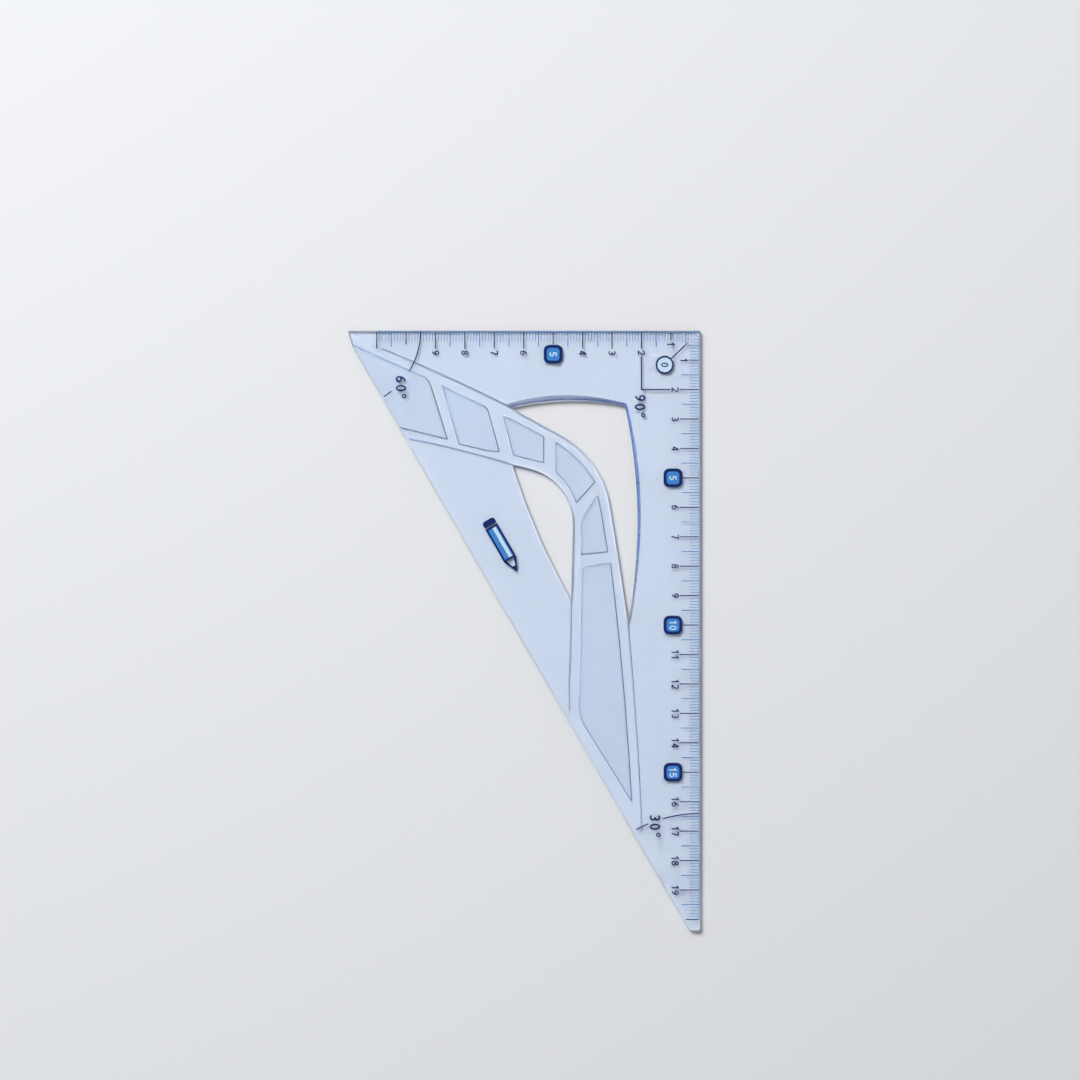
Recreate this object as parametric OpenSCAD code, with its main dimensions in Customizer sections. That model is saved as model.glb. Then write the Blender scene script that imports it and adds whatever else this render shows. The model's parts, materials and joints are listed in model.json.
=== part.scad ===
// Set square, 60/30/90 degrees, for drawing and measuring.
// The right-angle corner is at +X +Y, the short leg lies along the +Y edge, the long leg along
// the +X edge, and the hypotenuse faces -X -Y. The square lies flat on Z = 0, printed face up.
// Outlines are laid out from the right-angle corner, so their X and Y values are negative.

/* [Plate] */
// Length of the long leg, measured to its sharp corner
long_leg = 210; // [209:0.5:211]
// Thickness of the moulding
plate_t = 2; // [1.8:0.1:2.4]
// Length that the square end takes off the 30 degree tip
tip_cut = 6; // [5.5:0.5:7]
// Length that the blunt end takes off the short edge at the 60 degree tip
apex_cut = 1.5; // [1:0.1:2]
// Distance that the blunt end runs down from the short edge
apex_drop = 5.1; // [4:0.1:6]

/* [Window] */
// Width of the slope under the window's top edge, where it is widest
top_slope_w = 1.9; // [1.8:0.1:2.2]
// Width of the steeper slope under the window's right edge, where it is widest
side_slope_w = 1.3; // [1.2:0.05:1.4]
// Height of both slopes above the underside
slope_h = 1.5; // [0.5:0.1:1.6]

/* [Band] */
// Depth of the panels between the ribs, cut in the underside
panel_depth = 0.4; // [0.3:0.1:0.8]
// Width of the line that marks the band's edges on the plate
edge_line_w = 0.7; // [0.5:0.1:0.9]
// Depth of that line
edge_line_depth = 0.3; // [0.2:0.1:0.5]

/* [Scales] */
// Last centimetre of the short leg's scale
short_scale_cm = 11; // [9:1:11]
// Last centimetre of the long leg's scale
long_scale_cm = 20; // [17:1:20]
// Length of a millimetre line
mm_line = 3.6; // [3:0.1:4]
// Width of the base line along a scale
base_line_w = 0.2; // [0.15:0.05:0.25]
// Width of a millimetre line
mm_line_w = 0.14; // [0.1:0.01:0.2]
// Width of a half-centimetre line
half_line_w = 0.26; // [0.2:0.01:0.35]
// Width of a centimetre line
cm_line_w = 0.34; // [0.25:0.01:0.45]
// Height of the scales' numerals
numeral_h = 2.5; // [2:0.1:2.6]
// Side of the rounded badge behind 5, 10 and 15
badge_side = 6.4; // [6:0.1:6.6]

/* [Angle marks] */
// Height of the angle labels' numerals
label_h = 3.6; // [3:0.1:3.8]
// Width of the arcs and the right-angle lines
angle_line_w = 0.4; // [0.3:0.05:0.5]
// Distance along the short scale where the 60 degree arc meets the edge and replaces a line
arc_60_at = 95; // [94:1:95]
// Distance along the long scale where the 30 degree arc meets the edge and replaces a line
arc_30_at = 164; // [163:1:164]

/* [Hidden] */

over = 1; // how far a cut runs past the face that it opens
ink_t = 0.05; // thickness of one layer of ink
base_line_at = 0.4; // distance from the edge to the middle of the base line
edge_gap = 0.55; // the lines across start this far from the edge, just clear of the base line
shortest_line = 0.5; // a scale line with less room than this is left out
mitre_gap = 0.8; // room kept to the other scale near the right angle, and to the hypotenuse

short_leg = long_leg * tan(30);
overall_w = short_leg - apex_cut;
overall_l = long_leg - tip_cut;

// Lengths of the longer scale lines: the long leg's half-centimetre lines are a little longer
short_half_line = mm_line + 1.8;
long_half_line = mm_line + 2.8;
short_cm_line = mm_line + 2.5;
long_cm_line = mm_line + 3.4;
short_last_numeral = min(9, short_scale_cm); // the lines after it have no numeral
// Centres of the numerals, measured from the edge
short_numeral_at = 7.5;
long_numeral_at = 8.55;
// The first numeral sits closer to the edge, clear of the zero ring
first_numeral_shift = 3;
short_badge_at = 8;
long_badge_at = 9.3;

right_angle_cm = 2; // centimetre lines that the right-angle lines run on from
zero_at = [-12.1, -11.6]; // centre of the zero ring
zero_r = 2.8; // radius of its line
zero_line_w = 0.6;
zero_pointer_end = 0.36; // share of the way from the corner to the ring where the pointer stops

navy = [0.07, 0.13, 0.36];
mid_blue = [0.27, 0.52, 0.80];
pale_blue = [0.66, 0.84, 0.94];
tinted = [0.72, 0.82, 0.95, 0.6];

// ---------- Points and outlines ----------

function unit(v) = v / norm(v);
function reversed(list) = [for (i = [len(list) - 1:-1:0]) list[i]];
// An angle brought between 0 and 360
function turn(a) = (a % 360 + 360) % 360;

// Centre of the circle through three points
function circle_centre(a, m, b) =
    let (d = 2 * (a.x * (m.y - b.y) + m.x * (b.y - a.y) + b.x * (a.y - m.y)))
    [((a * a) * (m.y - b.y) + (m * m) * (b.y - a.y) + (b * b) * (a.y - m.y)) / d,
     ((a * a) * (b.x - m.x) + (m * m) * (a.x - b.x) + (b * b) * (m.x - a.x)) / d];

// Points of the arc from a through m, up to but without b
function arc(a, m, b, steps = 12) =
    let (c = circle_centre(a, m, b), r = norm(a - c),
         from = atan2(a.y - c.y, a.x - c.x), to = atan2(b.y - c.y, b.x - c.x),
         left = cross(m - a, b - m) > 0,
         sweep = left ? turn(to - from) : -turn(from - to))
    [for (i = [0:steps - 1]) c + r * [cos(from + sweep * i / steps), sin(from + sweep * i / steps)]];

// Points of an elliptic arc between two angles, both ends included
function curve(c, rx, ry, from, to, steps = 10) =
    [for (i = [0:steps]) c + [rx * cos(from + (to - from) * i / steps),
                              ry * sin(from + (to - from) * i / steps)]];

// Rounding of corner q between p and k with radius r; a radius of 0 keeps the corner
function fillet(p, q, k, r, steps = 5) =
    r == 0 ? [q] :
    let (a = unit(p - q), b = unit(k - q), half = acos(a * b) / 2,
         reach = r / tan(half), c = q + unit(a + b) * r / sin(half))
    concat(arc(q + a * reach, c - unit(a + b) * r, q + b * reach, steps), [q + b * reach]);

// Closed outline with one rounding radius for each corner
function rounded(points, radii) =
    let (n = len(points))
    [for (i = [0:n - 1])
        each fillet(points[(i + n - 1) % n], points[i], points[(i + 1) % n], radii[i])];

// One side of a path at distance d to its left, mitred where the path bends
function side(path, d) =
    let (n = len(path))
    [for (i = [0:n - 1])
        let (u = unit(path[min(i + 1, n - 1)] - path[min(i, n - 2)]),
             v = unit(path[max(i, 1)] - path[max(i - 1, 0)]),
             p = [-u.y, u.x], q = [-v.y, v.x])
        path[i] + (p + q) * d / (1 + p * q)];

// A line of width w along a path, with square ends
module stroke(path, w) {
    polygon(concat(side(path, -w / 2), reversed(side(path, w / 2))));
}

// A filled oval
module disc(c, rx, ry, steps) {
    polygon(curve(c, rx, ry, 0, 360 - 360 / steps, steps - 1));
}

// A closed oval line of width w
module oval(c, rx, ry, w, steps = 20) {
    difference() {
        disc(c, rx + w / 2, ry + w / 2, steps);
        disc(c, rx - w / 2, ry - w / 2, steps);
    }
}

// Puts what is laid out from the right-angle corner in the part's own frame
module from_corner(z = 0) {
    translate([overall_w / 2, overall_l / 2, z]) children();
}

// Ink on the top face; layer 1 lies on layer 0
module ink(colour, layer = 0) {
    color(colour) from_corner(plate_t + layer * ink_t) linear_extrude(ink_t) children();
}

// ---------- Numerals ----------
// A numeral is drawn in a cell 6 wide and 10 high, with a line 1.6 wide.

cell_h = 10;
cell_w = 6;
cell_step = 7.4;
line_w = 1.6;

module digit(d) {
    if (d == 0) {
        oval([3, 5], 2.2, 4.2, line_w);
    } else if (d == 1) {
        stroke([[0.9, 7.1], [3.6, 9.2], [3.6, 0]], line_w);
    } else if (d == 2) {
        stroke(concat(curve([3, 6.8], 2.2, 2.4, 165, -30), [[0.9, 0.6]]), line_w);
        square([cell_w, line_w]);
    } else if (d == 3) {
        stroke(curve([2.9, 7.1], 2.1, 2.1, 150, -100), line_w);
        stroke(curve([2.9, 2.9], 2.3, 2.1, 100, -150), line_w);
    } else if (d == 4) {
        stroke([[4.3, 0], [4.3, cell_h]], line_w);
        stroke([[4.1, 9.4], [0.9, 2.9]], line_w);
        translate([0.1, 2.1]) square([5.9, line_w]);
    } else if (d == 5) {
        stroke([[5.5, 9.2], [1.5, 9.2], [1.2, 4.9]], line_w);
        stroke(curve([2.8, 3.3], 2.4, 2.5, 145, -150), line_w);
    } else if (d == 6) {
        oval([3, 3], 2.2, 2.2, line_w);
        stroke(curve([5.4, 3], 4.6, 6.2, 180, 100), line_w);
    } else if (d == 7) {
        translate([0.3, 8.4]) square([5.6, line_w]);
        stroke([[5.1, 9.3], [2.4, 0]], line_w);
    } else if (d == 8) {
        oval([3, 7.3], 1.8, 1.9, line_w);
        oval([3, 3], 2.2, 2.2, line_w);
    } else {
        translate([cell_w, cell_h]) rotate(180) digit(6);
    }
}

// A whole number up to 99, centred on the origin and reading towards -Y
module number(n, height) {
    digits = n < 10 ? [n] : [floor(n / 10), n % 10];
    width = cell_step * (len(digits) - 1) + cell_w;
    rotate(-90) scale(height / cell_h)
        for (i = [0:len(digits) - 1])
            translate([i * cell_step - width / 2, -cell_h / 2]) digit(digits[i]);
}

// An angle with its degree sign, centred on the origin and reading towards -Y
module angle_label(degrees) {
    step = cell_step + 1.2; // set a little wider than the scales' numerals
    sign_x = 2 * step + 2;
    width = sign_x + 2.2;
    rotate(-90) scale(label_h / cell_h) translate([-width / 2, -cell_h / 2]) {
        digit(degrees / 10);
        translate([step, 0]) digit(0);
        oval([sign_x, 8], 1.5, 1.5, 1.2, 16);
    }
}

// ---------- Moulding ----------

// The blunt end meets the hypotenuse here
apex_foot = [-short_leg + apex_drop * tan(30), -apex_drop];
tip_foot = [-tip_cut * tan(30), -overall_l];

module plate_outline() {
    polygon(rounded([[0, 0], [0, -overall_l], tip_foot, apex_foot, [-overall_w, 0]],
                    [0, 0.8, 2, 4, 0]));
}

// Corners of the window
upper_left = [-64.5, -26];
upper_right = [-25.6, -25.4];
upper_foot = [-24.6, -99.5];
lower_left = [-64, -45.4];
lower_foot = [-43.9, -91.8];

// The band's outer edge bends from a long slope into a long fall
outer_bend = [[-50, -34.2], [-37.8, -43.7], [-31.3, -57]];
// The band's inner edge makes the same bend more tightly
inner_bend = [[-56.5, -47.3], [-46.7, -54.5], [-43.3, -66]];

module upper_opening() {
    polygon(concat(
        arc(upper_left, [-44, -23.6], upper_right),
        arc(upper_right, [-21.3, -63], upper_foot, 20),
        arc(upper_foot, [-28.3, -75], outer_bend[2], 8),
        arc(outer_bend[2], outer_bend[1], outer_bend[0]),
        [outer_bend[0]]));
}

module lower_opening() {
    polygon(concat(
        arc(lower_left, [-60.6, -46.2], inner_bend[0], 3),
        arc(inner_bend[0], inner_bend[1], inner_bend[2]),
        [inner_bend[2]],
        arc(lower_foot, [-56.9, -65], lower_left)));
}

// Part of a cone that cuts a slope of width w in the underside, inside the arc through a, m and b
module sloped_edge(a, m, b, w, beside) {
    c = circle_centre(a, m, b);
    r = norm(a - c);
    intersection() {
        translate([c.x, c.y, -over])
            cylinder(h = slope_h + over, r1 = r + over * w / slope_h, r2 = r - w, $fn = 360);
        translate([0, 0, -over]) linear_extrude(slope_h + 2 * over) polygon(beside);
    }
}

slope_start = [-66.2, -24.8]; // the top slope runs out against the band here
slope_corner = [-25, -24.6]; // the two slopes meet here

module window_slopes() {
    sloped_edge(slope_start, [-45, -21.8], slope_corner, top_slope_w,
        [upper_left, [-66.6, -24.95], [-66.6, -18], [-19, -18], upper_right, [-45, -30]]);
    sloped_edge(slope_corner, [-20.25, -65], upper_foot, side_slope_w,
        [upper_right, [-19, -18], [-16, -99.5], upper_foot, [-23, -62]]);
}

// Panels of the band, from the apex to the tip. Each follows the ribs round it, and the first
// runs out through the hypotenuse and the blunt end.
module panel_1() {
    polygon(concat([[-121, -2.9]], arc([-95, -14.7], [-92.9, -15.9], [-91.5, -18], 4),
        arc([-91.5, -18], [-88.3, -28.1], [-85.6, -37.2], 5), [[-85.6, -37.2], [-106, -32.2]]));
}

module panel_2() {
    polygon(concat([[-88.3, -18]], arc([-74, -24.9], [-72.5, -25.9], [-71.8, -27.2], 4),
        [[-71.8, -27.2], [-67.9, -41.3], [-72, -41.1], [-82.4, -38.7]]));
}

module panel_3() {
    polygon([[-67.6, -27.9], [-52.9, -35.6], [-52.9, -45.2], [-63.8, -42.5]]);
}

module panel_4() {
    polygon(concat(arc([-49.4, -37.4], [-41.3, -43.6], [-35.4, -51.4], 8),
        [[-35.4, -51.4]], arc([-42.3, -59], [-45.6, -52.4], [-49.4, -48], 6), [[-49.4, -48]]));
}

module panel_5() {
    polygon(concat([[-34.6, -55.4], [-33.2, -62.4], [-31.1, -75.4]],
        [[-40.9, -76.4]], arc([-40.9, -65.5], [-38.9, -61.1], [-34.6, -55.4], 8)));
}

module panel_6() {
    polygon(concat(arc([-40.4, -80.2], [-35.4, -79.2], [-30.2, -78.6], 4),
        arc([-30.2, -78.6], [-26.1, -117], [-22.9, -161.3], 8), [[-22.9, -161.3]],
        arc([-39, -135.4], [-41.1, -131], [-41.6, -126], 4), [[-41.6, -126]]));
}

module panels() {
    panel_1();
    panel_2();
    panel_3();
    panel_4();
    panel_5();
    panel_6();
}

// Shallow lines that carry the band's two edges on across the plate. Each runs a little way past
// its corner of the window, so that it opens into it.
module edge_lines() {
    stroke(concat(arc([-108, -6.2], [-85, -16.1], upper_left, 6),
        [upper_left, upper_left + [1.2, -0.6]]), edge_line_w);
    stroke(concat([upper_foot + [-0.1, 1.4]],
        arc(upper_foot, [-21.9, -133], [-19.9, -169.5], 8), [[-19.9, -169.5]]), edge_line_w);
    stroke(concat(arc([-99, -36.6], [-81.5, -40.6], lower_left, 6),
        [lower_left, lower_left + [1.2, -0.4]]), edge_line_w);
    stroke([[-43.8, -90.4], [-44.1, -107], [-44.6, -121], [-44.5, -129]], edge_line_w);
}

module moulded_body() {
    color(tinted) from_corner() difference() {
        linear_extrude(plate_t) plate_outline();
        translate([0, 0, -over]) linear_extrude(plate_t + 2 * over) {
            upper_opening();
            lower_opening();
        }
        window_slopes();
        translate([0, 0, -over]) linear_extrude(panel_depth + over) panels();
        translate([0, 0, -over]) linear_extrude(edge_line_depth + over) edge_lines();
    }
}

// ---------- Scales ----------
// A scale runs away from the corner along its edge. at() turns a distance s along the edge and a
// distance d in from it into a point: the long scale runs down, the short scale runs left.

function long_at(s, d) = [-d, -s];
function short_at(s, d) = [-s, -d];

// Near the corner a line stops short of the other scale, and near a tip short of the hypotenuse
function line_end(s, full, long) =
    let (room = long ? (long_leg - s) * tan(30) : (short_leg - s) * tan(60))
    min(full, s - mitre_gap, room - mitre_gap);

module scale_line(s, full, w, long) {
    end = line_end(s, full, long);
    if (end > edge_gap + shortest_line)
        stroke(long ? [long_at(s, edge_gap), long_at(s, end)]
                    : [short_at(s, edge_gap), short_at(s, end)], w);
}

// The line that a scale stands on, from the mitre to the last centimetre
module base_line(last_cm, long) {
    stroke(long ? [long_at(mitre_gap, base_line_at), long_at(last_cm * 10, base_line_at)]
                : [short_at(mitre_gap, base_line_at), short_at(last_cm * 10, base_line_at)],
           base_line_w);
}

// Lines of a scale up to its last centimetre; the line at skip gives way to an arc
module mm_lines(last_cm, long, skip) {
    for (s = [1:last_cm * 10])
        if (s % 5 != 0 && s != skip) scale_line(s, mm_line, mm_line_w, long);
}

module half_lines(last_cm, full, long, skip) {
    for (cm = [1:last_cm])
        if (cm * 10 - 5 != skip) scale_line(cm * 10 - 5, full, half_line_w, long);
}

function has_badge(cm) = cm % 5 == 0;

// A centimetre line ends at its numeral or at its badge, and the first one is shorter
module cm_lines(last_cm, full, badge_at, long) {
    for (cm = [1:last_cm]) {
        to_badge = badge_at - badge_side / 2 - badge_gap;
        end = has_badge(cm) ? min(full, to_badge) : cm == 1 ? full - first_numeral_shift : full;
        scale_line(cm * 10, end, cm_line_w, long);
    }
}

module numerals(last_cm, numeral_at, long) {
    for (cm = [1:last_cm])
        if (!has_badge(cm)) {
            d = cm == 1 ? numeral_at - first_numeral_shift : numeral_at;
            translate(long ? long_at(cm * 10, d) : short_at(cm * 10, d)) number(cm, numeral_h);
        }
}

long_badges = [5, 10, 15];
short_badge = 5;
badge_r = 1.9; // rounding of the badge's corners
badge_centre_side = 4.3;
badge_centre_r = 1.1;
badge_gap = 0.1; // a centimetre line stops this far short of its badge

module badge_shape(side, r) {
    h = side / 2;
    polygon(rounded([[-h, -h], [h, -h], [h, h], [-h, h]], [r, r, r, r]));
}

module badge_centre() {
    badge_shape(badge_centre_side, badge_centre_r);
}

module badge_ring() {
    difference() {
        badge_shape(badge_side, badge_r);
        badge_centre();
    }
}

module short_scale_base_line() {
    ink(mid_blue) base_line(short_scale_cm, false);
}

module short_scale_mm_lines() {
    ink(mid_blue) mm_lines(short_scale_cm, false, arc_60_at);
}

module short_scale_half_lines() {
    ink(mid_blue) half_lines(short_scale_cm, short_half_line, false, arc_60_at);
}

module short_scale_cm_lines() {
    ink(navy) cm_lines(short_scale_cm, short_cm_line, short_badge_at, false);
}

module short_scale_numerals() {
    ink(navy) numerals(short_last_numeral, short_numeral_at, false);
}

module short_scale_badge_ring() {
    ink(navy) translate(short_at(short_badge * 10, short_badge_at)) badge_ring();
}

module short_scale_badge_centre() {
    ink(mid_blue) translate(short_at(short_badge * 10, short_badge_at)) badge_centre();
}

module short_scale_badge_numeral() {
    ink(pale_blue, 1) translate(short_at(short_badge * 10, short_badge_at)) number(short_badge, numeral_h);
}

module long_scale_base_line() {
    ink(mid_blue) base_line(long_scale_cm, true);
}

module long_scale_mm_lines() {
    ink(mid_blue) mm_lines(long_scale_cm, true, arc_30_at);
}

module long_scale_half_lines() {
    ink(mid_blue) half_lines(long_scale_cm, long_half_line, true, arc_30_at);
}

module long_scale_cm_lines() {
    ink(navy) cm_lines(long_scale_cm, long_cm_line, long_badge_at, true);
}

module long_scale_numerals() {
    ink(navy) numerals(long_scale_cm - 1, long_numeral_at, true);
}

module long_scale_badge_rings() {
    ink(navy) for (cm = long_badges) translate(long_at(cm * 10, long_badge_at)) badge_ring();
}

module long_scale_badge_centres() {
    ink(mid_blue) for (cm = long_badges) translate(long_at(cm * 10, long_badge_at)) badge_centre();
}

module long_scale_badge_numerals() {
    ink(pale_blue, 1)
        for (cm = long_badges) translate(long_at(cm * 10, long_badge_at)) number(cm, numeral_h);
}

// ---------- Angle marks ----------

apex = [-short_leg, 0];
tip = [0, -long_leg];
arc_60_r = short_leg - arc_60_at;
arc_30_r = long_leg - arc_30_at;
label_60_at = [-101.7, -19.2];
label_30_at = [-15.4, -168.2];
label_90_at = [-20.5, -25.6];

// An arc of angle_line_w about c between two angles
module angle_arc(c, r, from, to) {
    stroke(curve(c, r, r, from, to, 12), angle_line_w);
}

// The arc stops on both sides of its label
module arc_60() {
    ink(navy) {
        angle_arc(apex, arc_60_r, -1, -32);
        angle_arc(apex, arc_60_r, -51.5, -58.5);
    }
}

module label_60() {
    ink(navy) translate(label_60_at) angle_label(60);
}

module arc_30() {
    ink(navy) {
        angle_arc(tip, arc_30_r, 90.6, 106);
        angle_arc(tip, arc_30_r, 112.6, 118.4);
    }
}

module label_30() {
    ink(navy) translate(label_30_at) angle_label(30);
}

// Both lines run on from a centimetre line, past its numeral, to the corner of a square
module right_angle_lines() {
    corner = right_angle_cm * 10;
    ink(navy) stroke([short_at(corner, short_numeral_at + 1.3), [-corner, -corner],
                      long_at(corner, long_numeral_at + 1.6)], angle_line_w);
}

module label_90() {
    ink(navy) translate(label_90_at) angle_label(90);
}

// ---------- Zero mark ----------

module zero_ring() {
    ink(navy) oval(zero_at, zero_r, zero_r, zero_line_w, 32);
}

module zero_disc() {
    ink(pale_blue) disc(zero_at, zero_r - zero_line_w / 2, zero_r - zero_line_w / 2, 32);
}

module zero_numeral() {
    ink(navy, 1) translate(zero_at) number(0, numeral_h);
}

// Points from the ring to the corner that both scales start from
module zero_pointer() {
    ring_edge = zero_at - unit(zero_at) * (zero_r + zero_line_w / 2);
    ink(navy) stroke([ring_edge, zero_at * zero_pointer_end], angle_line_w);
}

// ---------- Pencil pictogram ----------
// Drawn along +X from its blunt end, then turned parallel to the hypotenuse.

pencil_at = [-72.3, -64.3];
pencil_w = 4.6;
pencil_cap = 2.6;
pencil_barrel = 12.8;
pencil_cone = 5;
pencil_line_w = 0.7;
cap_gap = 0.5; // clear plate between the cap and the barrel
cap_r = 1;
lead_l = 2.4; // length of the filled point
lead_w = 1.1;
highlight_w = 1.2;

module pencil_place() {
    translate(pencil_at) rotate(-60) children();
}

// Inside of the barrel, from height low to height high
module barrel_inside(low, high) {
    translate([pencil_cap + pencil_line_w, low]) square([pencil_barrel - 2 * pencil_line_w, high - low]);
}

// Cap, barrel lines and point
module pencil_outline() {
    h = pencil_w / 2;
    cap_end = pencil_cap - cap_gap;
    barrel_end = pencil_cap + pencil_barrel;
    lead_x = barrel_end + pencil_cone - lead_l;
    wood_h = h - 1;
    ink(navy) pencil_place() {
        polygon(rounded([[0, -h], [cap_end, -h], [cap_end, h], [0, h]], [cap_r, 0, 0, cap_r]));
        difference() {
            polygon([[pencil_cap, -h], [barrel_end, -h], [barrel_end + pencil_cone, 0],
                     [barrel_end, h], [pencil_cap, h]]);
            barrel_inside(pencil_line_w - h, h - pencil_line_w);
            polygon([[barrel_end, -wood_h], [lead_x, -lead_w / 2], [lead_x, lead_w / 2],
                     [barrel_end, wood_h]]);
        }
    }
}

// Colour of the barrel, inside its outline
module pencil_body() {
    h = pencil_w / 2 - pencil_line_w;
    ink(mid_blue) pencil_place() difference() {
        barrel_inside(-h, h);
        barrel_inside(0, highlight_w);
    }
}

// Light stripe along the barrel
module pencil_highlight() {
    ink(pale_blue) pencil_place() barrel_inside(0, highlight_w);
}

moulded_body();
short_scale_base_line();
short_scale_mm_lines();
short_scale_half_lines();
short_scale_cm_lines();
short_scale_numerals();
short_scale_badge_ring();
short_scale_badge_centre();
short_scale_badge_numeral();
long_scale_base_line();
long_scale_mm_lines();
long_scale_half_lines();
long_scale_cm_lines();
long_scale_numerals();
long_scale_badge_rings();
long_scale_badge_centres();
long_scale_badge_numerals();
arc_60();
label_60();
arc_30();
label_30();
right_angle_lines();
label_90();
zero_ring();
zero_disc();
zero_numeral();
zero_pointer();
pencil_outline();
pencil_body();
pencil_highlight();
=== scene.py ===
# %% [markdown]
# # A clear blue set square
# The real object is one injection moulding in pale blue clear plastic, 2 mm thick, with two scales
# and a few marks printed on its top face. The CAD model holds every size. This lesson keeps the
# CAD ink where it is, rebuilds the moulding with the soft edges that a mould leaves, and lights
# the square from above on a pale table.

# %% Load the CAD model
import json

import bpy
import numpy as np
from mathutils.geometry import delaunay_2d_cdt
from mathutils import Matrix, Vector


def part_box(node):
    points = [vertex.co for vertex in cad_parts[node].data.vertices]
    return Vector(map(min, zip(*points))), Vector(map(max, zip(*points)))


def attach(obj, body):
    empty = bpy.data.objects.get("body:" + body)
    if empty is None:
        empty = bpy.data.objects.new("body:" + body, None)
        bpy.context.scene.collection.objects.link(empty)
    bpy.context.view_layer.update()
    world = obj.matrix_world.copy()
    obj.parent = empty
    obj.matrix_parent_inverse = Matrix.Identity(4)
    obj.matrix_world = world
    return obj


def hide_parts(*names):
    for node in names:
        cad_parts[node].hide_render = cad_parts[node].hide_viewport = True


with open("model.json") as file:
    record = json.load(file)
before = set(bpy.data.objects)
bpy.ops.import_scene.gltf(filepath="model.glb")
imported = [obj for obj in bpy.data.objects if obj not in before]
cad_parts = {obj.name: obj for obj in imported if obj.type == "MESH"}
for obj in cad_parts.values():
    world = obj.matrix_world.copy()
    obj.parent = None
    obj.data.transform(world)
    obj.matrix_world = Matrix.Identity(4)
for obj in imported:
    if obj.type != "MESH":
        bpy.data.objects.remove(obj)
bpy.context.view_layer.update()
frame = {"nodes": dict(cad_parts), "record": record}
scene = bpy.context.scene
MM = 0.001
plate_low, plate_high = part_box("moulded_body")
print("CAD nodes:", len(frame["nodes"]))
print("plate, mm:", [round(v / MM, 2) for v in plate_high - plate_low])

# %% [markdown]
# ## Camera
# A flat drawing tool is shown from straight above, so that its scales read true. A long lens far
# away keeps the edges parallel. A camera that isn't turned looks down -Z with +Y at the top of
# the view, which is what is wanted here, so only its place is set.

# %% Camera
LENS = 100.0
SENSOR = 36.0
VIEW_SPAN = 366.9 * MM  # width of the view at the height of the print
AIM_X = 5.4 * MM  # the middle of the view, from the middle of the plate
AIM_Y = 30.9 * MM

camera_data = bpy.data.cameras.new("overhead_camera")
camera_data.lens = LENS
camera_data.sensor_width = SENSOR
camera = bpy.data.objects.new("overhead_camera", camera_data)
camera.location = (AIM_X, AIM_Y, plate_high.z + VIEW_SPAN * LENS / SENSOR)
scene.collection.objects.link(camera)
scene.camera = camera
print("camera height, m:", round(camera.location.z, 3))

# %% [markdown]
# ## Light and table
# Clear plastic shows what is round it, so the light matters as much as the material. One soft lamp
# at the upper left, in line with the hypotenuse, gives about seven tenths of the table's light. It
# leaves a narrow shadow below every edge that faces down or right, and hardly any along the
# hypotenuse. A dim dome gives the rest: pale blue near the horizon, which is what the edges show,
# and a small bright patch straight above, whose reflection gives the flat face its sheen. The
# Standard view keeps the table neutral. By default the renderer blurs a clear surface once light
# has left a matt one. Below a clear plate that blur swallows a third of the table's light, so it
# is turned off.

# %% Node helpers
def add_node(tree, kind, **values):
    """A new node of that kind; values are its sockets by name, or its own settings."""
    node = tree.nodes.new(kind)
    for name, value in values.items():
        socket = node.inputs.get(name.replace("_", " "))
        if socket is None:
            setattr(node, name, value)
        else:
            socket.default_value = value
    return node


def new_tree(name):
    """A new material with its node tree, Principled shader and output."""
    material = bpy.data.materials.new(name)
    material.use_nodes = True
    tree = material.node_tree
    return material, tree, tree.nodes["Principled BSDF"], tree.nodes["Material Output"]


def add_blend(tree, low, high, ends=(0, 1)):
    """A node that goes from the low colour to the high one between two values of its input."""
    node = add_node(tree, "ShaderNodeValToRGB")
    for stop, position, colour in zip(node.color_ramp.elements, ends, (low, high)):
        stop.position = position
        stop.color = (*colour, 1)
    return node


# %% Dome
# Height, from 0 at the horizon to 1 straight above, and the colour that the dome has there
DOME_BANDS = (
    (0.04, (0.50, 0.84, 1.25, 1)),
    (0.22, (0.08, 0.13, 0.22, 1)),
    (0.55, (0.17, 0.17, 0.17, 1)),
    (0.96, (0.36, 0.36, 0.37, 1)),
    (0.985, (0.85, 0.92, 1.10, 1)),
)

scene.view_settings.view_transform = "Standard"
scene.cycles.blur_glossy = 0.0
dome = bpy.data.worlds.new("studio_dome")
dome.use_nodes = True
dome.node_tree.nodes.clear()
direction = add_node(dome.node_tree, "ShaderNodeTexCoord")
height = add_node(dome.node_tree, "ShaderNodeSeparateXYZ")
fade = add_node(dome.node_tree, "ShaderNodeValToRGB")
bands = fade.color_ramp.elements
bands.remove(bands[1])
bands[0].position, bands[0].color = DOME_BANDS[0]
for band_height, band_colour in DOME_BANDS[1:]:
    bands.new(band_height).color = band_colour
sky = add_node(dome.node_tree, "ShaderNodeBackground")
sky_out = add_node(dome.node_tree, "ShaderNodeOutputWorld")
dome.node_tree.links.new(direction.outputs["Generated"], height.inputs["Vector"])
dome.node_tree.links.new(height.outputs["Z"], fade.inputs["Fac"])
dome.node_tree.links.new(fade.outputs["Color"], sky.inputs["Color"])
dome.node_tree.links.new(sky.outputs["Background"], sky_out.inputs["Surface"])
scene.world = dome
print("dome ready:", len(dome.node_tree.nodes), "nodes")

# %% Soft lamp
LAMP_SIDE = 0.95  # metres; a smaller lamp of this power is so bright that the renderer clips it
LAMP_POWER = 34.0  # watts
LAMP_AT = (-0.67, 1.02, 1.45)

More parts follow.
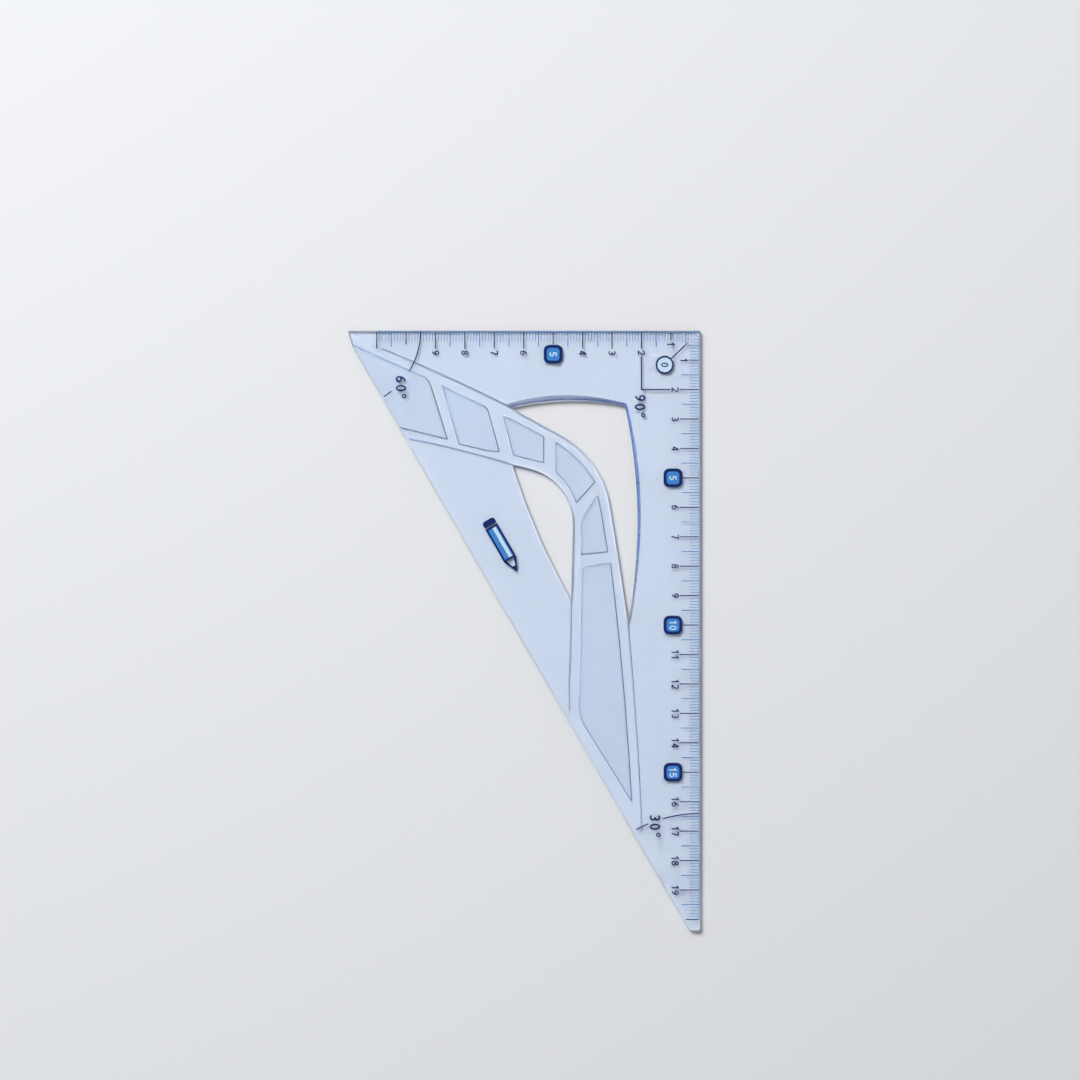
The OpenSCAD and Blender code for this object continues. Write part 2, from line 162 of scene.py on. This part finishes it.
lamp_data = bpy.data.lights.new("soft_lamp", "AREA")
lamp_data.size = LAMP_SIDE
lamp_data.energy = LAMP_POWER
lamp = bpy.data.objects.new("soft_lamp", lamp_data)
lamp.location = LAMP_AT
lamp.rotation_mode = "QUATERNION"
lamp.rotation_quaternion = lamp.location.to_track_quat("Z", "Y")
lamp.visible_glossy = False  # its mirror image would wash out the print when seen from the far side
scene.collection.objects.link(lamp)
print("lamp height, m:", lamp.location.z)

# %% Table
TABLE_HALF = 6.0
TABLE_GAP = 0.15 * MM  # the plate stands this far clear, as a real one does on its burrs
TABLE_COLOUR = (0.800, 0.802, 0.800, 1)
TABLE_ROUGHNESS = 0.9
TABLE_SPECULAR = 0.1

table_mesh = bpy.data.meshes.new("table")
table_z = plate_low.z - TABLE_GAP
table_mesh.from_pydata(
    [(x * TABLE_HALF, y * TABLE_HALF, table_z) for x, y in ((-1, -1), (1, -1), (1, 1), (-1, 1))],
    [], [(0, 1, 2, 3)])
table = bpy.data.objects.new("table", table_mesh)
scene.collection.objects.link(table)
matt, _, matt_shader, _ = new_tree("matt_table")
matt_shader.inputs["Base Color"].default_value = TABLE_COLOUR
matt_shader.inputs["Roughness"].default_value = TABLE_ROUGHNESS
matt_shader.inputs["Specular IOR Level"].default_value = TABLE_SPECULAR
table_mesh.materials.append(matt)
print("table at, mm:", round(table_z / MM, 2))

# %% [markdown]
# ## Outlines
# Every outline is laid out in millimetres from the right-angle corner, as a draughtsman would
# draw it: straight runs, arcs through three points, and a radius at each corner. The functions
# work on whole arrays of points. An offset of a closed outline moves each corner along its mitre,
# which draws the lines on which the soft edges start and end.

# %% Arcs and rounded corners
def unit(v):
    """Each vector divided by its own length."""
    return v / np.linalg.norm(v, axis=-1, keepdims=True)


def across(v):
    """Each vector turned a quarter to the left."""
    return np.stack([-v[..., 1], v[..., 0]], axis=-1)


def circle_through(a, m, b):
    """Centre and radius of the circle through three points, where two mid-perpendiculars cross."""
    a, m, b = (np.asarray(p, float) for p in (a, m, b))
    rows = np.stack([m - a, b - a])
    centre = np.linalg.solve(rows, ((rows * (rows + 2 * a)).sum(1)) / 2)
    return centre, np.linalg.norm(a - centre)


def arc(a, m, b, steps=16):
    """Points of the arc from a through m up to but without b, at even angles about its centre."""
    centre, radius = circle_through(a, m, b)
    start, middle, end = (np.arctan2(*(np.asarray(p, float) - centre)[::-1]) for p in (a, m, b))
    sweep = (end - start) % (2 * np.pi)
    if (middle - start) % (2 * np.pi) > sweep:
        sweep -= 2 * np.pi
    turn = start + sweep * np.arange(steps) / steps
    return centre + radius * np.stack([np.cos(turn), np.sin(turn)], axis=1)


def path_of(*pieces):
    """One array of points from single points and arcs, in order."""
    return np.vstack([np.atleast_2d(np.asarray(p, float)) for p in pieces])


def soften(loop, cuts, steps=6, least_turn=12.0):
    """A closed outline whose sharp corners become curves: (1-t)^2 A + 2t(1-t) C + t^2 B, where A and
    B lie one cut before and behind the corner C."""
    before, after = unit(loop - np.roll(loop, 1, 0)), unit(np.roll(loop, -1, 0) - loop)
    sharp = (before * after).sum(1) < np.cos(np.radians(least_turn))
    cuts = np.broadcast_to(np.asarray(cuts, float), len(loop))[:, None, None]
    t = np.linspace(0, 1, steps)[None, :, None]
    corner = loop[:, None]
    curve = ((1 - t) ** 2 * (corner - before[:, None] * cuts) + 2 * t * (1 - t) * corner
             + t ** 2 * (corner + after[:, None] * cuts))
    curve[~sharp] = corner[~sharp]
    keep = sharp[:, None] | (np.arange(steps) == 0)[None, :]
    return curve[keep]


def spaced(loop, step):
    """The same closed outline with points added evenly, so that no side is longer than step."""
    along = np.roll(loop, -1, 0) - loop
    count = np.maximum(1, np.ceil(np.linalg.norm(along, axis=1) / step)).astype(int)
    index = np.repeat(np.arange(len(loop)), count)
    share = (np.arange(count.sum()) - (np.cumsum(count) - count)[index]) / count[index]
    return loop[index] + along[index] * share[:, None]


def offset(loop, distance):
    """A closed outline moved to its left: each point goes along its mitre by distance."""
    p = across(unit(np.roll(loop, -1, 0) - loop))
    q = across(unit(loop - np.roll(loop, 1, 0)))
    return loop + (p + q) * distance / (1 + (p * q).sum(1, keepdims=True))


def ribbon(path, width):
    """The closed outline of a line of that width along an open path, mitred at its bends."""
    ahead = unit(np.diff(path, axis=0))
    p, q = across(np.vstack([ahead, ahead[-1:]])), across(np.vstack([ahead[:1], ahead]))
    lean = (p + q) * width / 2 / (1 + (p * q).sum(1, keepdims=True))
    return np.vstack([path - lean, (path + lean)[::-1]])


print("a quarter of the unit circle:", arc((1, 0), (0.5 ** 0.5, 0.5 ** 0.5), (0, 1), 3).round(2).tolist())

# %% Edge of the plate
SPAN_X, SPAN_Y, PLATE_T = ((plate_high - plate_low)[i] / MM for i in range(3))
TIP_CUT = 6.0  # the square end takes this off the 30 degree tip
APEX_DROP = 5.1  # the blunt end runs down this far from the short edge
LEAN = np.tan(np.radians(30))

short_leg = (SPAN_Y + TIP_CUT) * LEAN
plate_edge = soften(path_of(
    (0, 0), (-SPAN_X, 0), (APEX_DROP * LEAN - short_leg, -APEX_DROP),
    (-TIP_CUT * LEAN, -SPAN_Y), (0, -SPAN_Y)), (0.5, 0.5, 1.6, 1.2, 0.8))
print("plate edge points:", len(plate_edge))

# %% Window
UPPER_LEFT, UPPER_RIGHT, UPPER_FOOT = (-64.5, -26), (-25.6, -25.4), (-24.6, -99.5)
LOWER_LEFT, LOWER_FOOT = (-64, -45.4), (-43.9, -91.8)
OUTER_BEND = ((-50, -34.2), (-37.8, -43.7), (-31.3, -57))
INNER_BEND = ((-56.5, -47.3), (-46.7, -54.5), (-43.3, -66))
CORNER_CUT = 0.45

upper_window = soften(path_of(
    arc(UPPER_LEFT, (-44, -23.6), UPPER_RIGHT, 24), arc(UPPER_RIGHT, (-21.3, -63), UPPER_FOOT, 40),
    arc(UPPER_FOOT, (-28.3, -75), OUTER_BEND[2], 20), arc(*reversed(OUTER_BEND), 20),
    OUTER_BEND[0]), CORNER_CUT)
lower_window = soften(path_of(
    arc(LOWER_LEFT, (-60.6, -46.2), INNER_BEND[0], 5), arc(*INNER_BEND, 20), INNER_BEND[2],
    arc(LOWER_FOOT, (-56.9, -65), LOWER_LEFT, 30)), CORNER_CUT)
print("window points:", len(upper_window), len(lower_window))

# %% Panels of the band
PANEL_CUT = 0.55
PANEL_BENDS = (
    [(-121, -2.9), arc((-95, -14.7), (-92.9, -15.9), (-91.5, -18), 4),
     arc((-91.5, -18), (-88.3, -28.1), (-85.6, -37.2), 8), (-85.6, -37.2), (-106, -32.2)],
    [(-88.3, -18), arc((-74, -24.9), (-72.5, -25.9), (-71.8, -27.2), 4),
     (-71.8, -27.2), (-67.9, -41.3), (-72, -41.1), (-82.4, -38.7)],
    [(-67.6, -27.9), (-52.9, -35.6), (-52.9, -45.2), (-63.8, -42.5)],
    [arc((-49.4, -37.4), (-41.3, -43.6), (-35.4, -51.4), 12), (-35.4, -51.4),
     arc((-42.3, -59), (-45.6, -52.4), (-49.4, -48), 8), (-49.4, -48)],
    [(-34.6, -55.4), (-33.2, -62.4), (-31.1, -75.4), (-40.9, -76.4),
     arc((-40.9, -65.5), (-38.9, -61.1), (-34.6, -55.4), 8)],
    [arc((-40.4, -80.2), (-35.4, -79.2), (-30.2, -78.6), 5),
     arc((-30.2, -78.6), (-26.1, -117), (-22.9, -161.3), 16), (-22.9, -161.3),
     arc((-39, -135.4), (-41.1, -131), (-41.6, -126), 5), (-41.6, -126)],
)
panels = [soften(path_of(*bends), PANEL_CUT)[::-1] for bends in PANEL_BENDS]
print("panels:", len(panels))

# %% Lines that carry the band on across the plate
EDGE_LINE_W = 0.7
EDGE_LINES = (
    path_of(arc((-108, -6.2), (-85, -16.1), UPPER_LEFT, 16), UPPER_LEFT, (-63.3, -26.6)),
    path_of((-24.7, -98.1), arc(UPPER_FOOT, (-21.9, -133), (-19.9, -169.5), 16), (-19.9, -169.5)),
    path_of(arc((-99, -36.6), (-81.5, -40.6), LOWER_LEFT, 12), LOWER_LEFT, (-62.8, -45.8)),
    path_of((-43.8, -90.4), (-44.1, -107), (-44.6, -121), (-44.5, -129)),
)
print("edge lines:", len(EDGE_LINES))

# %% [markdown]
# ## The moulding as two height maps
# The plate could be a CAD mesh with a Bevel modifier, but its thin sloped edges and shallow
# panels leave a bevel no room. Both faces are height maps instead: the top and the underside are
# each a function of x and y, made of distances to the outlines. One flat triangulation that
# follows every outline carries both faces, and a wall joins them along the plate's edge and round
# the window, so the mesh is closed by construction.

# %% Distances
def distance_to(points, path, closed=True):
    """Distance from each point to the nearest side of a path."""
    start = path if closed else path[:-1]
    side = (np.roll(path, -1, 0) if closed else path[1:]) - start
    away = points[:, None] - start
    share = np.clip((away * side).sum(2) / (side ** 2).sum(1), 0, 1)
    return np.linalg.norm(away - share[..., None] * side, axis=2).min(1)


def depth_in(points, loop):
    """Distance to a closed outline, positive inside: a ray to the right crosses it an odd number
    of times."""
    x, y = points[:, :1], points[:, 1:]
    (ax, ay), (bx, by) = loop.T, np.roll(loop, -1, 0).T
    rise = np.where(by == ay, 1, by - ay)
    crossed = ((ay > y) != (by > y)) & (x < ax + (bx - ax) * (y - ay) / rise)
    return np.where(crossed.sum(1) % 2 == 1, 1, -1) * distance_to(points, loop)


def depth_in_plate(points):
    """Distance into the plastic from the plate's edge or the window, whichever is nearer."""
    return np.minimum(depth_in(points, plate_edge),
                      np.minimum(-depth_in(points, upper_window), -depth_in(points, lower_window)))


def swell(t):
    """0 below 0, 1 above 1, and 3t^2 - 2t^3 between."""
    t = np.clip(t, 0, 1)
    return t * t * (3 - 2 * t)


print("depth at the plate's middle, mm:", depth_in_plate(np.array([[-60.0, -10.0]])).round(2))

# %% Slopes under the window's edges
SLOPE_H = 1.5
SLOPE_WIDTHS = (1.85, 1.3)  # 39 and 49 degrees; past 41 a slope mirrors the depth of the plastic
SLOPE_ARCS = (((-66.2, -24.8), (-45, -21.8), (-25, -24.6)), ((-25, -24.6), (-20.25, -65), UPPER_FOOT))
SLOPE_REGION = path_of((-66.6, -24.95), UPPER_LEFT, (-45, -30), (-28, -60), UPPER_FOOT,
                       (-16, -99.5), (-16, -18), (-66.6, -18))
CREASE = 0.1  # half width of the soft crease where a slope starts
FADE_W = 0.3  # the top slope dies away over this width against the band
FADE_SHIFT = (0.1, 0.3)  # brings the points that carry the fade inside the region


def slope(points):
    """Height of the two slopes above the underside. Each grows with the distance inside its own
    circle, as on a cone; the lower of the two holds, so that they meet in a mitre."""
    heights = []
    for bend, width in zip(SLOPE_ARCS, SLOPE_WIDTHS):
        centre, radius = circle_through(*bend)
        inward = radius - np.linalg.norm(points - centre, axis=1)
        eased = np.where(inward < CREASE, np.clip(inward + CREASE, 0, None) ** 2 / (4 * CREASE), inward)
        heights.append(np.minimum(eased / width, 1) * SLOPE_H)
    return np.min(heights, axis=0) * swell(depth_in(points, SLOPE_REGION) / FADE_W)


print("highest slope, mm:", slope(upper_window).max().round(2))

# %% Panels and edge lines in the underside
PANEL_DEPTH = 0.4
PANEL_WALL = 0.62  # width of a panel's soft wall
EDGE_LINE_DEPTH = 0.22  # shallower than the CAD groove, whose sides are upright


def hollow(points):
    """Depth of the panels and lines cut in the underside: a panel's wall rises as a soft step, and
    a line is a soft-sided groove."""
    depth = np.zeros(len(points))
    for panel in panels:
        depth = np.maximum(depth, PANEL_DEPTH * swell(depth_in(points, panel) / PANEL_WALL))
    for line in EDGE_LINES:
        gone = distance_to(points, line, closed=False) / (EDGE_LINE_W / 2)
        depth = np.maximum(depth, EDGE_LINE_DEPTH * swell(1 - gone))
    return depth


def floor_share(points):
    """1 on the floor of a panel and 0 outside it."""
    return np.max([swell(depth_in(points, panel) / PANEL_WALL) for panel in panels], axis=0)


print("deepest hollow, mm:", hollow(np.array([[-80.0, -30.0], [-44.1, -107.0]])).round(2))

# %% Soft edge all round
TOP_R = 0.2
LOW_R = 0.45  # the mould parts below the top face, so the lower edge is rounder
ROUND_TURNS = np.radians((0, 22, 45, 68, 90))
HAIR = 1e-4  # share of a radius at which a quarter round is taken to end, as it is upright there


def round_rings(radius):
    """Distances from the edge at which a quarter round is cut into even turns."""
    return radius * (1 - np.cos(ROUND_TURNS))


def round_drop(depth, radius):
    """How far a quarter round lies from the flat face at that distance in."""
    inner = radius - np.clip(depth, 0, radius)
    return radius - np.sqrt(np.maximum(radius ** 2 - inner ** 2, 0))


def round_steepness(depth, radius):
    """Slope of that quarter round; it is kept finite at the very edge."""
    inner = radius - np.clip(depth, radius * HAIR, radius)
    return inner / np.sqrt(radius ** 2 - inner ** 2)


print("lower edge drops, mm:", round_drop(round_rings(LOW_R), LOW_R).round(3))

# %% Triangles that follow every outline
EDGE_STEP = 2.5
WINDOW_STEP = 1.2
PANEL_STEP = 1.6
PANEL_WALL_RINGS = np.array((0, 0.2, 0.5, 0.8, 1))  # shares of the wall's width
EDGE_LINE_RINGS = (1, 0.66, 0.33, 0.02)  # shares of the line's width

outer_ring, upper_ring, lower_ring = (
    spaced(plate_edge, EDGE_STEP), spaced(upper_window, WINDOW_STEP), spaced(lower_window, WINDOW_STEP))


def left_is_inside(loop):
    """True if the outline runs anticlockwise: its area by the shoelace sum is positive."""
    ahead = np.roll(loop, -1, 0)
    return (loop[:, 0] * ahead[:, 1] - loop[:, 1] * ahead[:, 0]).sum() > 0


def rings_of(loop, distances, inward):
    """The outline and its offsets to the inside or the outside."""
    sign = 1 if left_is_inside(loop) == inward else -1
    return [loop if d == 0 else offset(loop, sign * d) for d in distances]


edge_rings = np.unique(np.concatenate([round_rings(TOP_R), round_rings(LOW_R)]))
rings = rings_of(outer_ring, edge_rings, True)
for window_ring in (upper_ring, lower_ring):
    rings += rings_of(window_ring, edge_rings, False)
for panel in panels:
    rings += rings_of(spaced(panel, PANEL_STEP), PANEL_WALL_RINGS * PANEL_WALL, True)
for line in EDGE_LINES:
    rings += [spaced(ribbon(line, EDGE_LINE_W * share), PANEL_STEP) for share in EDGE_LINE_RINGS]
for bend in SLOPE_ARCS:
    crease = np.vstack([arc(*bend, 40), bend[2]])
    rings += [spaced(ribbon(crease, 2 * CREASE), WINDOW_STEP)]
rings += [ribbon(SLOPE_REGION[:2] + FADE_SHIFT, FADE_W)]
print("rings:", len(rings), "with", sum(map(len, rings)), "points")


# %% Flat triangulation
SAME_POINT = 1e-5  # points nearer than this are one


def triangulated(loops):
    """Triangles of the plane that keep every side of the loops, where depth_in_plate is positive."""
    count = np.array([len(r) for r in loops])
    first = np.repeat(np.cumsum(count) - count, count)
    here = np.arange(count.sum())
    ahead = first + (here - first + 1) % np.repeat(count, count)
    links = np.stack([here, ahead], 1)
    found = delaunay_2d_cdt(np.vstack(loops).tolist(), links.tolist(), [], 0, SAME_POINT)
    flat = np.array([tuple(v) for v in found[0]])
    faces = np.array(found[2])
    corners = flat[faces]
    area = np.cross(corners[:, 1] - corners[:, 0], corners[:, 2] - corners[:, 0])
    faces = np.where(area[:, None] < 0, faces[:, ::-1], faces)
    faces = faces[depth_in_plate(corners.mean(1)) > SAME_POINT]
    used, faces = np.unique(faces, return_inverse=True)
    return flat[used], faces.reshape(-1, 3)


flat, faces = triangulated(rings)
print("flat triangulation:", len(flat), "points,", len(faces), "triangles")


# %% Both faces
NEARLY_ZERO = 1e-9


def steepness_of(field, points, step=0.01):
    """How fast a field of x and y rises along x and along y, from small steps both ways."""
    return np.stack([(field(points + d) - field(points - d)) / (2 * step)
                     for d in ((step, 0), (0, step))], axis=1)


def underside(points):
    """Height of the slopes, panels and lines in the underside."""
    return slope(points) + hollow(points)


depth = depth_in_plate(flat)
inward = steepness_of(depth_in_plate, flat)
top_z = PLATE_T - round_drop(depth, TOP_R)
top_rise = inward * round_steepness(depth, TOP_R)[:, None]
# The lower edge and what is cut in the underside join as the two short sides of a right angle do
cut = underside(flat)
lower = round_drop(depth, LOW_R)
low_z = np.hypot(cut, lower)
low_rise = cut[:, None] * steepness_of(underside, flat)
low_rise -= (lower * round_steepness(depth, LOW_R))[:, None] * inward
low_rise /= np.maximum(low_z, NEARLY_ZERO)[:, None]
print("thinnest place, mm:", (top_z - low_z).min().round(3))

# %% Wall between the faces
half = len(flat)
normals = unit(np.vstack([np.column_stack([-top_rise, np.ones(half)]),
                          np.column_stack([low_rise, -np.ones(half)])]))
sides = np.vstack([faces[:, [0, 1]], faces[:, [1, 2]], faces[:, [2, 0]]])
_, first, times = np.unique(np.sort(sides, 1), axis=0, return_index=True, return_counts=True)
a, b = sides[first[times == 1]].T  # sides that only one triangle has lie on an outline
wall = np.vstack([np.stack([b, a, a + half], 1), np.stack([b, a + half, b + half], 1)])
body_faces = np.vstack([faces, faces[:, ::-1] + half, wall])
body_points = np.vstack([np.column_stack([flat, top_z]), np.column_stack([flat, low_z])])
print("sides on the wall:", len(a))


# %% The moulding's mesh
def mesh_of(name, points, triangles):
    """A mesh from an array of points in metres and an array of triangles, all smooth."""
    mesh = bpy.data.meshes.new(name)
    mesh.vertices.add(len(points))
    mesh.vertices.foreach_set("co", points.astype(np.float32).ravel())
    mesh.loops.add(triangles.size)
    mesh.loops.foreach_set("vertex_index", triangles.astype(np.int32).ravel())
    mesh.polygons.add(len(triangles))
    mesh.polygons.foreach_set("loop_start", np.arange(0, triangles.size, 3, dtype=np.int32))
    mesh.polygons.foreach_set("use_smooth", np.ones(len(triangles), bool))
    mesh.update(calc_edges=True)
    return mesh


right_angle_corner = np.array([plate_high.x, plate_high.y, plate_low.z])
body_mesh = mesh_of("clear_moulding", body_points * MM + right_angle_corner, body_faces)
body_mesh.normals_split_custom_set_from_vertices(normals.tolist())
print("moulding:", len(body_mesh.vertices), "vertices,", len(body_mesh.polygons), "triangles")

# %% Where the moulding is frosted and where its walls are; both marks also place painted shade
FULL_SHADE_STEEPNESS = 0.8  # a wall of the underside as steep as this has its whole cast


def mark_underside(name, shares):
    """A value at each vertex: 0 on the top face, and its own share, 0 to 1, on the underside."""
    values = np.concatenate([np.zeros(half), shares]).astype(np.float32)
    body_mesh.attributes.new(name, "FLOAT", "POINT").data.foreach_set("value", values)


# painted shade: the steeper a wall of the panels or lines, the more of the darker blue base colour it
# gets
wall_shade_share = np.clip(np.linalg.norm(steepness_of(hollow, flat), axis=1) / FULL_SHADE_STEEPNESS, 0, 1)
# the panel floors carry the frost roughness and also a painted shade in the base colour
mark_underside("floor_frost_and_shade", floor_share(flat))
mark_underside("walls", wall_shade_share)
print("vertices on the walls:", int((wall_shade_share > 0).sum()))

# %% The moulding in the scene
moulding = bpy.data.objects.new("clear_moulding", body_mesh)
scene.collection.objects.link(moulding)
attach(moulding, "root")
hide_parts("moulded_body")
print("moulding stands in for:", "moulded_body")

# %% [markdown]
# ## Clear blue plastic
# The colour of clear plastic is in its depth, not on its face: a 2 mm plate is hardly tinted, and
# the same plastic seen through its edge is deep blue. So the shader is clear and the tint is
# volume absorption. The panel floors are faintly frosted, as a mould that is etched there leaves
# them, and the rest has the slightly uneven polish of a moulding that has been slid over paper.
# The walls of the panels and lines are too shallow for their depth alone to draw them, so they get a
# painted shade of their own, a darker blue in the base colour, which multiplies the painted shade that
# darkens the panel floors a little.

# %% Depth of colour
STYRENE_IOR = 1.53
TINT = (0.38, 0.63, 0.985, 1)
TINT_DENSITY = 100.0

plastic, tree, shader, output = new_tree("clear_blue_plastic")
shader.inputs["IOR"].default_value = STYRENE_IOR
shader.inputs["Transmission Weight"].default_value = 1.0
tint = add_node(tree, "ShaderNodeVolumeAbsorption", Color=TINT, Density=TINT_DENSITY)
tree.links.new(tint.outputs["Volume"], output.inputs["Volume"])
body_mesh.materials.append(plastic)
print("plastic on", moulding.name)

# %% Polish and frost
POLISH_LOW = 0.02
POLISH_HIGH = 0.07
FROST_ROUGHNESS = 0.12

place = add_node(tree, "ShaderNodeTexCoord")
wear = add_node(tree, "ShaderNodeTexNoise", Scale=900.0, Detail=4.0, Roughness=0.6)
polish = add_node(tree, "ShaderNodeMapRange", From_Min=0.3, From_Max=0.7,
                  To_Min=POLISH_LOW, To_Max=POLISH_HIGH)
# this mark of the panel floors drives both their frost roughness and their painted shade
frost_and_shade_mask = add_node(tree, "ShaderNodeAttribute", attribute_name="floor_frost_and_shade")
frosted = add_node(tree, "ShaderNodeMix")
frosted.inputs["B"].default_value = FROST_ROUGHNESS
tree.links.new(place.outputs["Object"], wear.inputs["Vector"])
tree.links.new(wear.outputs["Fac"], polish.inputs["Value"])
tree.links.new(frost_and_shade_mask.outputs["Fac"], frosted.inputs["Factor"])
tree.links.new(polish.outputs["Result"], frosted.inputs["A"])
tree.links.new(frosted.outputs["Result"], shader.inputs["Roughness"])
print("roughness from", POLISH_LOW, "to", FROST_ROUGHNESS)

# %% Painted shade on the floors and walls
CLEAR_CAST = (0.985, 0.99, 1.0)
# painted shade: the base colour of the panel floors is a little darker than the rest of the plate
FLOOR_PAINTED_SHADE = (0.855, 0.915, 0.983)
# painted shade: the walls of the panels and lines get a darker blue base colour
WALL_PAINTED_SHADE = (0.74, 0.86, 1.0)

# painted shade on the panel floors
floors = add_blend(tree, CLEAR_CAST, FLOOR_PAINTED_SHADE)
# painted shade on the walls, multiplied with the painted shade of the floors
wall_shade_mask = add_node(tree, "ShaderNodeAttribute", attribute_name="walls")
wall_shade_colour = add_blend(tree, (1, 1, 1), WALL_PAINTED_SHADE)
both = add_node(tree, "ShaderNodeVectorMath", operation="MULTIPLY")
tree.links.new(frost_and_shade_mask.outputs["Fac"], floors.inputs["Fac"])
tree.links.new(wall_shade_mask.outputs["Fac"], wall_shade_colour.inputs["Fac"])
tree.links.new(floors.outputs["Color"], both.inputs[0])
tree.links.new(wall_shade_colour.outputs["Color"], both.inputs[1])
tree.links.new(both.outputs["Vector"], shader.inputs["Base Color"])
print("plastic has", len(tree.nodes), "nodes")

# %% [markdown]
# ## Screen-printed ink
# The print is three opaque inks, each a few hundredths of a millimetre thick. The CAD strokes
# already have the right shape, so they keep their own meshes. What the eye reads as ink is the
# satin face, a slight unevenness of colour where the mesh of the screen laid down more or less,
# and a fine tooth, so each ink has those three.

# %% Ink
INK_SPECULAR = 0.2
COLOUR_DRIFT = 0.12  # share of the colour
ROUGHNESS_DRIFT = 0.06
TOOTH_HEIGHT = 0.01 * MM


def ink(name, colour, roughness):
    """A satin ink: its colour and roughness drift a little over a millimetre or two, and a fine
    bump gives it the tooth of a screen print."""
    material, tree, shader, _ = new_tree(name)
    shader.inputs["Specular IOR Level"].default_value = INK_SPECULAR
    place = add_node(tree, "ShaderNodeTexCoord")
    drift = add_node(tree, "ShaderNodeTexNoise", Scale=1400.0, Detail=3.0, Roughness=0.55)
    darker = (1 - COLOUR_DRIFT) * np.array(colour)
    lighter = (1 + COLOUR_DRIFT) * np.array(colour)
    shade = add_blend(tree, darker, lighter, (0.25, 0.75))
    sheen = add_node(tree, "ShaderNodeMapRange", From_Min=0.3, From_Max=0.7,
                     To_Min=roughness - ROUGHNESS_DRIFT, To_Max=roughness + ROUGHNESS_DRIFT)
    tooth = add_node(tree, "ShaderNodeTexNoise", Scale=9000.0, Detail=2.0)
    bump = add_node(tree, "ShaderNodeBump", Strength=0.25, Distance=TOOTH_HEIGHT)
    tree.links.new(place.outputs["Object"], drift.inputs["Vector"])
    tree.links.new(place.outputs["Object"], tooth.inputs["Vector"])
    tree.links.new(drift.outputs["Fac"], shade.inputs["Fac"])
    tree.links.new(drift.outputs["Fac"], sheen.inputs["Value"])
    tree.links.new(tooth.outputs["Fac"], bump.inputs["Height"])
    tree.links.new(shade.outputs["Color"], shader.inputs["Base Color"])
    tree.links.new(sheen.outputs["Result"], shader.inputs["Roughness"])
    tree.links.new(bump.outputs["Normal"], shader.inputs["Normal"])
    return material


INKS = {
    "navy_ink": ink("navy_ink", (0.005, 0.020, 0.125), 0.42),
    "mid_blue_ink": ink("mid_blue_ink", (0.052, 0.225, 0.590), 0.40),
    "pale_blue_ink": ink("pale_blue_ink", (0.560, 0.740, 0.860), 0.38),
}
print("inks:", sorted(INKS))

# %% Inks on the CAD strokes
for part in frame["record"]["subparts"]:
    if part["material_slot"] in INKS:
        for holder in frame["nodes"][part["node"]].material_slots:
            holder.link = "OBJECT"
            holder.material = INKS[part["material_slot"]]
